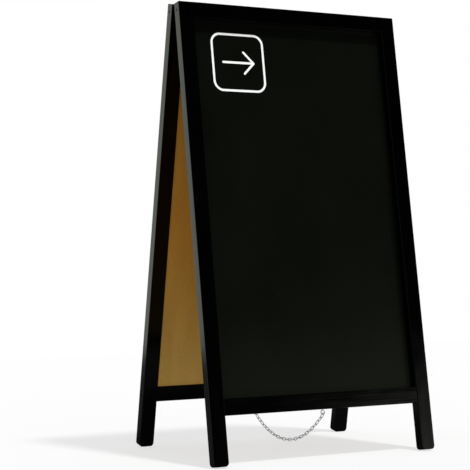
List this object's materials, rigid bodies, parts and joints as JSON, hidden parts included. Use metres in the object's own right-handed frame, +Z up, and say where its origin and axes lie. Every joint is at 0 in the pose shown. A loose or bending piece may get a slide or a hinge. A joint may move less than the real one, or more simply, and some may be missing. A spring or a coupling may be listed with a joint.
{
  "type": "sandwich board",
  "caption": "Folding A-frame pavement chalkboard: framed black boards hinged at the top edge, standing on their stile ends, with a link chain between the bottom rails.",
  "frame": {"origin": "on the floor, midway between the four legs, with the board opened", "axes": "+X to the right across the boards, the front board faces -Y, +Z up"},
  "size_m": [0.56, 0.3848, 0.9897],
  "materials": {
    "black_paint": "black paint on softwood, satin, faint grain",
    "writing_surface": "matt black chalkboard coating",
    "hardboard": "raw brown hardboard",
    "dowel_wood": "raw beech",
    "black_screws": "black phosphated steel",
    "zinc": "bright zinc plate",
    "white_mark": "matt white marking"
  },
  "bodies": {
    "front_board": {"front_left_stile": "black_paint", "front_right_stile": "black_paint", "front_top_rail": "black_paint", "front_bottom_rail": "black_paint", "front_panel": "hardboard", "front_writing_surface": "writing_surface", "front_dowels": "dowel_wood", "front_corner_screws": "black_screws", "front_screw_eye": "zinc", "front_mark": "white_mark", "front_hinge_screws": "zinc", "left_hinge_front_leaf": "zinc", "right_hinge_front_leaf": "zinc", "left_hinge_pin": "zinc", "right_hinge_pin": "zinc", "chain": "zinc"},
    "rear_board": {"rear_left_stile": "black_paint", "rear_right_stile": "black_paint", "rear_top_rail": "black_paint", "rear_bottom_rail": "black_paint", "rear_panel": "hardboard", "rear_writing_surface": "writing_surface", "rear_dowels": "dowel_wood", "rear_corner_screws": "black_screws", "rear_screw_eye": "zinc", "rear_hinge_screws": "zinc", "left_hinge_rear_leaf": "zinc", "right_hinge_rear_leaf": "zinc"}
  },
  "joints": [
    {"name": "fold", "type": "hinge", "parent": "front_board", "child": "rear_board", "pos_m": [0, 0, 0.98027], "axis": [1, 0, 0], "range_deg": [-19.2, 0], "deforming": ["chain"]}
  ]
}
